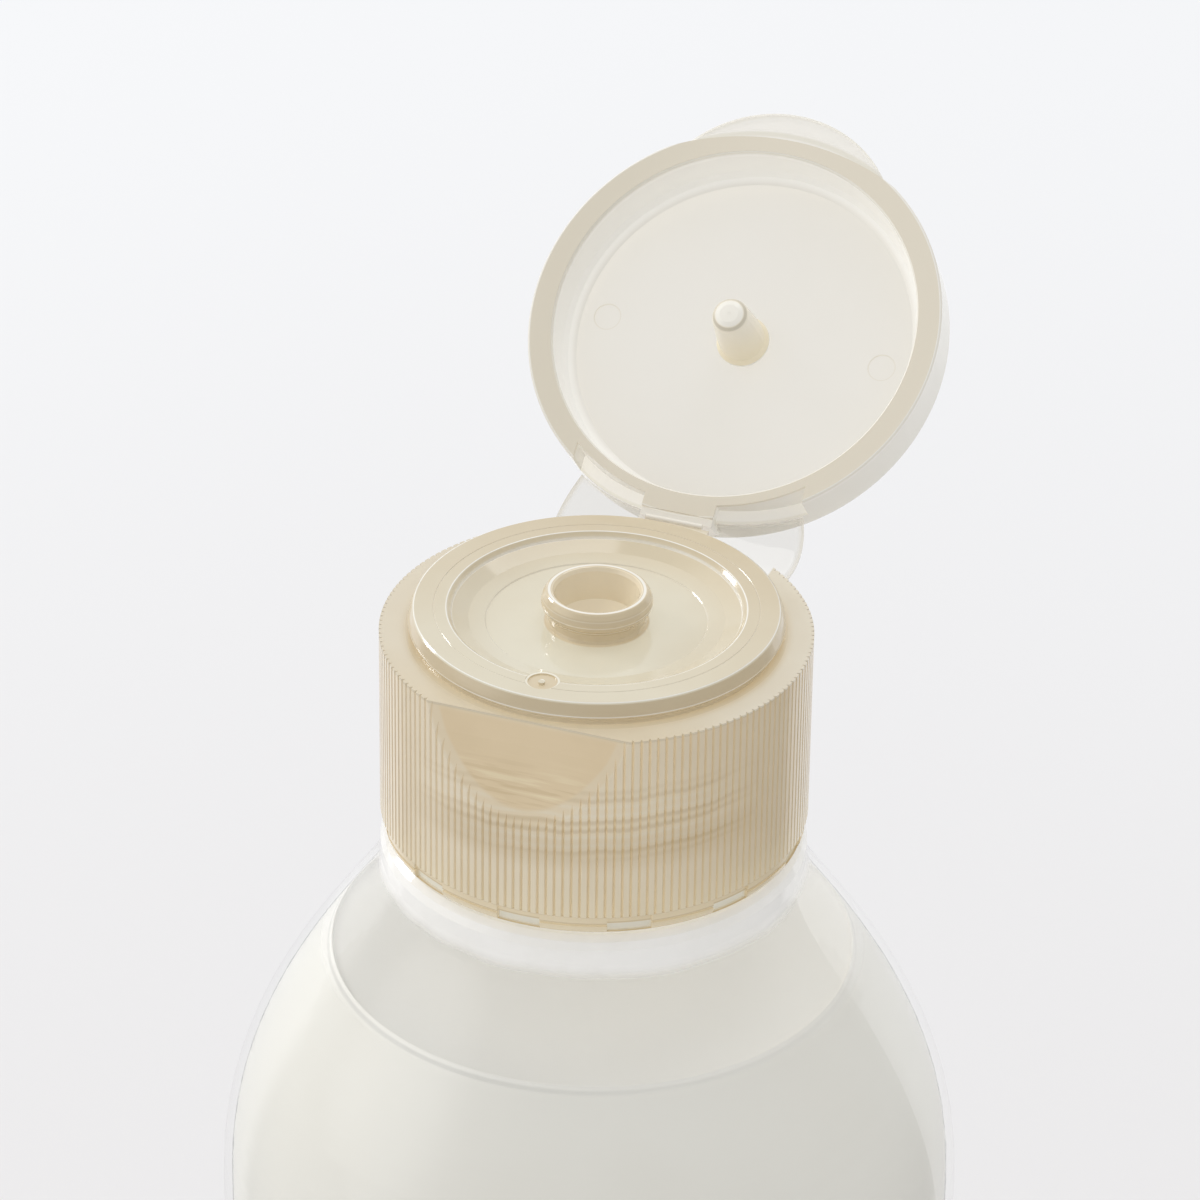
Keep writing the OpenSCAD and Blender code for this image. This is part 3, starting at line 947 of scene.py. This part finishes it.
def floor_finish(look):
    """Pale floor that keeps the shadow, is painted darker near the bottle, and is dimmer in
    reflections towards the front
    """
    r = Recipe("pale_floor")
    coords = r.node("ShaderNodeTexCoord")
    shade = r.noise(coords.outputs["Object"], 3.0, 1.0, 0.5)
    length = r.node("ShaderNodeVectorMath", {"operation": "LENGTH"})
    r.feed(length, 0, coords.outputs["Object"])
    spread = r.math("ADD", length.outputs["Value"], r.times(shade, 0.06))
    # painted shade: the floor darker near the bottle, lighter further away
    colour = r.blend(r.ramp(spread, 0.1, 0.52), look.floor, look.floor_far)
    matte = r.node("ShaderNodeBsdfDiffuse", Color=colour)
    ahead = r.node("ShaderNodeVectorMath", {"operation": "NORMALIZE"})
    r.feed(ahead, 0, coords.outputs["Object"])
    facing = r.node("ShaderNodeVectorMath", {"operation": "DOT_PRODUCT"})
    r.feed(facing, 0, ahead.outputs[0])
    facing.inputs[1].default_value = front_of(look)
    # reflections see the floor as a glow, dimmer towards the front
    rays = r.node("ShaderNodeLightPath")
    dim = r.ramp(facing.outputs["Value"], *FRONT_EDGE, 1.22, 1.2 * look.front_gloss)
    bright = r.node("ShaderNodeMix", {"data_type": "FLOAT"})
    for i, v in enumerate((rays.outputs["Is Glossy Ray"], 1.0, dim)):
        r.feed(bright, (0, 2, 3)[i], v)
    glow = r.node("ShaderNodeEmission", Color=colour, Strength=bright.outputs[0])
    plain = r.math(
        "ADD", rays.outputs["Is Camera Ray"], rays.outputs["Is Transmission Ray"], clamp=True
    )
    seen = r.math(
        "ADD", r.times(plain, FLOOR_GLOW), rays.outputs["Is Glossy Ray"], clamp=True
    )
    return r.close(r.mix(seen, matte, glow).outputs[0])


# shapes


def film_root(u, on_lid):
    """Point where a side film leaves the collar or the lid, u running outwards"""
    inner, outer = NOTCH_INNER[0] + 0.2 * MM, NOTCH_OUTER[0] - 0.4 * MM
    x = inner + (outer - inner) * u
    part = (x - NOTCH_INNER[0]) / (NOTCH_OUTER[0] - NOTCH_INNER[0])
    height = NOTCH_INNER[1] + (NOTCH_OUTER[1] - NOTCH_INNER[1]) * part
    radius = FILM_RADIUS[1] if on_lid else FILM_RADIUS[0]
    y = math.sqrt(radius * radius - x * x)
    if not on_lid:
        return Vector((x, y, SEAT_Z - height))
    arm = Vector((0.0, y - HINGE.y, SEAT_Z + height - HINGE.z))
    return Vector((x, HINGE.y, HINGE.z)) + Matrix.Rotation(-OPEN_ANGLE, 3, "X") @ arm


def film_point(u, v):
    """Middle surface of the right film, v running from the collar to the lid"""
    belly = (0.25 + 1.15 * u) * 4 * v * (1 - v) * MM
    out = Vector((0.7, 0.45, -0.55)) * belly
    return film_root(u, False).lerp(film_root(u, True), v) + out


def side_film(name, side, look):
    """Thin curved web with a rounded free edge; side is 1 on the right and -1 on the left"""
    across, along = look.across, look.along
    step = 1e-3
    rows, edges = [], []
    for i in range(across + 1):
        u = i / across
        row = []
        for j in range(along + 1):
            v = 0.01 + 0.98 * j / along
            p = film_point(u, v)
            du = film_point(min(1.0, u + step), v) - film_point(max(0.0, u - step), v)
            dv = film_point(u, min(1.0, v + step)) - film_point(u, max(0.0, v - step))
            normal = du.cross(dv).normalized()
            bead = math.exp(-(((1.0 - u) / 0.04) ** 2))
            fold = math.exp(-((min(v, 1.0 - v) / 0.05) ** 2))
            edges.append(max(bead, 0.55 * fold))
            half = 0.5 * (look.thickness + (look.edge - look.thickness) * bead)
            row.append((p, normal, half))
        rows.append(row)
    width = along + 1
    verts, faces = [], []
    for sign in (1.0, -1.0):
        for row in rows:
            for p, normal, half in row:
                q = p + normal * half * sign
                verts.append((side * q.x, q.y, q.z))
    back = (across + 1) * width

    def at(i, j, layer):
        return layer * back + i * width + j

    for i in range(across):
        for j in range(along):
            faces.append((at(i, j, 0), at(i + 1, j, 0), at(i + 1, j + 1, 0), at(i, j + 1, 0)))
            faces.append((at(i, j, 1), at(i, j + 1, 1), at(i + 1, j + 1, 1), at(i + 1, j, 1)))
    for i in range(across):
        faces.append((at(i, 0, 0), at(i, 0, 1), at(i + 1, 0, 1), at(i + 1, 0, 0)))
        faces.append((at(i, along, 0), at(i + 1, along, 0), at(i + 1, along, 1), at(i, along, 1)))
    for j in range(along):
        faces.append((at(0, j, 0), at(0, j + 1, 0), at(0, j + 1, 1), at(0, j, 1)))
        faces.append((at(across, j, 0), at(across, j, 1), at(across, j + 1, 1), at(across, j + 1, 0)))
    if side < 0:
        faces = [tuple(reversed(face)) for face in faces]
    mesh = bpy.data.meshes.new(name)
    mesh.from_pydata(verts, [], faces)
    mesh.validate()
    mesh.attributes.new("edge", "FLOAT", "POINT").data.foreach_set("value", edges * 2)
    piece = bpy.data.objects.new(name, mesh)
    bpy.context.scene.collection.objects.link(piece)
    smooth_by_angle(piece, 50)
    return piece


def lotion_edge(look):
    """Raised edge of the lotion where it wets the wall"""
    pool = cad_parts["lotion"]
    points = [v.co for v in pool.data.vertices]
    top = max(p.z for p in points)
    rings = {}
    for p in points:
        level = round(p.z, 6)
        rings[level] = max(rings.get(level, 0.0), math.hypot(p.x, p.y))
    levels = sorted(rings)
    radius = rings[levels[-1]]
    under = rings[levels[-2]]
    slope = (radius - under) / (levels[-1] - levels[-2])
    steps, turns = 8, 180
    profile = []
    for k in range(steps + 1):
        t = k / steps
        climb = look.edge_rise * t**3
        profile.append((radius - look.edge_width * (1 - t) + slope * climb, top + climb))
    profile.append((radius + slope * look.edge_rise + 0.00004, top + look.edge_rise))
    profile.append((radius + 0.00004, top - 0.00002))
    profile.append((radius - look.edge_width, top - 0.00002))
    count = len(profile)
    verts, faces = [], []
    for i in range(turns):
        a = 2 * math.pi * i / turns
        for rr, zz in profile:
            verts.append((rr * math.cos(a), rr * math.sin(a), zz))
    for i in range(turns):
        j = (i + 1) % turns
        for k in range(count):
            m = (k + 1) % count
            faces.append((i * count + k, i * count + m, j * count + m, j * count + k))
    mesh = bpy.data.meshes.new("lotion_edge")
    mesh.from_pydata(verts, [], faces)
    mesh.validate()
    piece = bpy.data.objects.new("lotion_edge", mesh)
    bpy.context.scene.collection.objects.link(piece)
    smooth_by_angle(piece, 60)
    return piece


def lamp(name, size, power, direction, distance, aim):
    """Soft area lamp that faces the bottle"""
    data = bpy.data.lights.new(name, "AREA")
    data.shape = "ELLIPSE"
    data.size, data.size_y = size
    data.energy = power
    piece = bpy.data.objects.new(name, data)
    azimuth, elevation = direction
    away = Vector(
        (
            math.sin(azimuth) * math.cos(elevation),
            -math.cos(azimuth) * math.cos(elevation),
            math.sin(elevation),
        )
    )
    piece.location = Vector(aim) + away * distance
    piece.rotation_euler = away.to_track_quat("Z", "Y").to_euler()
    bpy.context.scene.collection.objects.link(piece)


# operators


class BOTTLE_OT_wall(bpy.types.Operator):
    """Give the blown bottle its clear wall"""

    bl_idname = "bottle.wall"
    bl_label = "Clear wall"

    def execute(self, context):
        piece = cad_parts["bottle"]
        dress(piece, clear_wall_finish(context.scene.bottle_wall))
        smooth_by_angle(piece, 28)
        return {"FINISHED"}


class BOTTLE_OT_lotion(bpy.types.Operator):
    """Give the lotion its finish and its raised edge"""

    bl_idname = "bottle.lotion"
    bl_label = "Lotion"

    def execute(self, context):
        look = context.scene.bottle_lotion
        finish = lotion_finish(look)
        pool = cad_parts["lotion"]
        dress(pool, finish)
        smooth_by_angle(pool, 28)
        edge = lotion_edge(look)
        dress(edge, finish)
        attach(edge, "bottle")
        return {"FINISHED"}


class BOTTLE_OT_closure(bpy.types.Operator):
    """Give the collar, deck and spout their translucent plastic"""

    bl_idname = "bottle.closure"
    bl_label = "Closure"

    def execute(self, context):
        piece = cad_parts["closure_base"]
        dress(piece, closure_finish(context.scene.bottle_closure))
        smooth_by_angle(piece, 24)
        return {"FINISHED"}


class BOTTLE_OT_lid(bpy.types.Operator):
    """Give the lid, its pin and the hinge strap their translucent plastic"""

    bl_idname = "bottle.lid"
    bl_label = "Lid and strap"

    def execute(self, context):
        finish = lid_finish(context.scene.bottle_closure)
        for name in ("lid", "hinge_strap"):
            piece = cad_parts[name]
            dress(piece, finish)
            smooth_by_angle(piece, 28)
        return {"FINISHED"}


class BOTTLE_OT_films(bpy.types.Operator):
    """Build the two clear films beside the hinge strap"""

    bl_idname = "bottle.films"
    bl_label = "Side films"

    def execute(self, context):
        look = context.scene.bottle_film
        finish = film_finish(look)
        for name, side in (("left", -1), ("right", 1)):
            piece = side_film("side_film_" + name, side, look)
            dress(piece, finish)
            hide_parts("hinge_film_" + name)
            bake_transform(piece)
        return {"FINISHED"}


class BOTTLE_OT_stage(bpy.types.Operator):
    """Set the floor, the lamps, the surroundings and the camera"""

    bl_idname = "bottle.stage"
    bl_label = "Stage"

    def execute(self, context):
        look = context.scene.bottle_stage
        self.lay_floor(look)
        self.light(look)
        self.surround(look)
        self.aim_camera(look)
        context.scene.view_settings.view_transform = "Standard"
        return {"FINISHED"}

    def lay_floor(self, look):
        turns, rings = 96, 6
        verts, faces = [(0.0, 0.0, 0.0)], []
        for k in range(1, rings + 1):
            radius = look.floor_radius * (k / rings) ** 2
            for i in range(turns):
                a = 2 * math.pi * i / turns
                verts.append((radius * math.cos(a), radius * math.sin(a), 0.0))
        for i in range(turns):
            faces.append((0, 1 + i, 1 + (i + 1) % turns))
        for k in range(rings - 1):
            for i in range(turns):
                a, b = 1 + k * turns + i, 1 + k * turns + (i + 1) % turns
                faces.append((a, a + turns, b + turns, b))
        mesh = bpy.data.meshes.new("floor")
        mesh.from_pydata(verts, [], faces)
        floor = bpy.data.objects.new("floor", mesh)
        bpy.context.scene.collection.objects.link(floor)
        dress(floor, floor_finish(look))

    def light(self, look):
        side = look.azimuth
        left = (side + math.radians(-125), math.radians(25))
        above = (side + math.radians(150), math.radians(65))
        lamp("lamp_left", (0.3, 0.45), 4.5, left, 1.3, look.aim)
        lamp("lamp_above", (0.8, 0.8), 3.0, above, 1.3, look.aim)

    def surround(self, look):
        world = bpy.data.worlds.new("studio")
        bpy.context.scene.world = world
        world.use_nodes = True
        tree = world.node_tree
        tree.nodes.clear()
        output = tree.nodes.new("ShaderNodeOutputWorld")
        light = tree.nodes.new("ShaderNodeBackground")
        coords = tree.nodes.new("ShaderNodeTexCoord")
        turn = Matrix.Rotation(math.radians(-110), 3, "Z")
        side, rise = look.azimuth - math.radians(77), math.radians(20)
        softbox = Vector(
            (math.sin(side) * math.cos(rise), -math.cos(side) * math.cos(rise), math.sin(rise))
        )
        ends = (
            (turn @ front_of(look), -0.9, 0.9, look.dim_light, look.full_light),
            (front_of(look), *FRONT_EDGE, 1.0, look.front_gloss),
            (softbox, 0.86, 1.0, 0.0, look.softbox),
        )
        ramps = []
        for towards, *values in ends:
            facing = tree.nodes.new("ShaderNodeVectorMath")
            facing.operation = "DOT_PRODUCT"
            facing.inputs[1].default_value = towards
            tree.links.new(coords.outputs["Generated"], facing.inputs[0])
            ramp = tree.nodes.new("ShaderNodeMapRange")
            ramp.interpolation_type = "SMOOTHSTEP"
            for i, value in enumerate(values):
                ramp.inputs[i + 1].default_value = value
            tree.links.new(facing.outputs["Value"], ramp.inputs[0])
            ramps.append(ramp)
        rays = tree.nodes.new("ShaderNodeLightPath")
        choice = tree.nodes.new("ShaderNodeMix")
        choice.data_type = "FLOAT"
        tree.links.new(rays.outputs["Is Glossy Ray"], choice.inputs[0])
        both = tree.nodes.new("ShaderNodeMath")
        tree.links.new(ramps[1].outputs[0], both.inputs[0])
        tree.links.new(ramps[2].outputs[0], both.inputs[1])
        tree.links.new(ramps[0].outputs[0], choice.inputs[2])
        tree.links.new(both.outputs[0], choice.inputs[3])
        tree.links.new(choice.outputs[0], light.inputs["Strength"])
        tree.links.new(light.outputs[0], output.inputs["Surface"])

    def aim_camera(self, look):
        a, e, roll = look.azimuth, look.elevation, look.roll
        back = Vector((math.sin(a) * math.cos(e), -math.cos(a) * math.cos(e), math.sin(e)))
        right = Vector((math.cos(a), math.sin(a), 0.0))
        up = back.cross(right)
        turned = right * math.cos(roll) + up * math.sin(roll)
        upright = up * math.cos(roll) - right * math.sin(roll)
        data = bpy.data.cameras.new("camera")
        data.lens = look.lens
        data.sensor_width = 36.0
        data.clip_end = 20.0
        camera = bpy.data.objects.new("camera", data)
        axes = Matrix((turned, upright, back)).transposed().to_4x4()
        axes.translation = Vector(look.aim) + back * look.distance
        camera.matrix_world = axes
        bpy.context.scene.collection.objects.link(camera)
        bpy.context.scene.camera = camera


class BOTTLE_PT_panel(bpy.types.Panel):
    """Sizes, colours and steps of the bottle"""

    bl_idname = "BOTTLE_PT_panel"
    bl_label = "Lotion bottle"
    bl_space_type = "VIEW_3D"
    bl_region_type = "UI"
    bl_category = "Bottle"

    def draw(self, context):
        layout = self.layout
        for name, steps in PANEL_ROWS:
            box = layout.box()
            group = getattr(context.scene, name)
            for key in group.__annotations__:
                box.prop(group, key)
            for step in steps:
                box.operator(step.bl_idname)


PANEL_ROWS = (
    ("bottle_wall", (BOTTLE_OT_wall,)),
    ("bottle_lotion", (BOTTLE_OT_lotion,)),
    ("bottle_closure", (BOTTLE_OT_closure, BOTTLE_OT_lid)),
    ("bottle_film", (BOTTLE_OT_films,)),
    ("bottle_stage", (BOTTLE_OT_stage,)),
)

GROUPS = {
    "bottle_wall": BOTTLE_PG_wall,
    "bottle_lotion": BOTTLE_PG_lotion,
    "bottle_closure": BOTTLE_PG_closure,
    "bottle_film": BOTTLE_PG_film,
    "bottle_stage": BOTTLE_PG_stage,
}

CLASSES = (
    *GROUPS.values(),
    BOTTLE_OT_wall,
    BOTTLE_OT_lotion,
    BOTTLE_OT_closure,
    BOTTLE_OT_lid,
    BOTTLE_OT_films,
    BOTTLE_OT_stage,
    BOTTLE_PT_panel,
)


def register():
    for cls in CLASSES:
        bpy.utils.register_class(cls)
    for name, group in GROUPS.items():
        setattr(bpy.types.Scene, name, PointerProperty(type=group))


def unregister():
    for name in GROUPS:
        delattr(bpy.types.Scene, name)
    for cls in reversed(CLASSES):
        bpy.utils.unregister_class(cls)


def main():
    register()
    bpy.ops.bottle.wall()
    bpy.ops.bottle.lotion()
    bpy.ops.bottle.closure()
    bpy.ops.bottle.lid()
    bpy.ops.bottle.films()
    bpy.ops.bottle.stage()


if __name__ == "__main__":
    main()
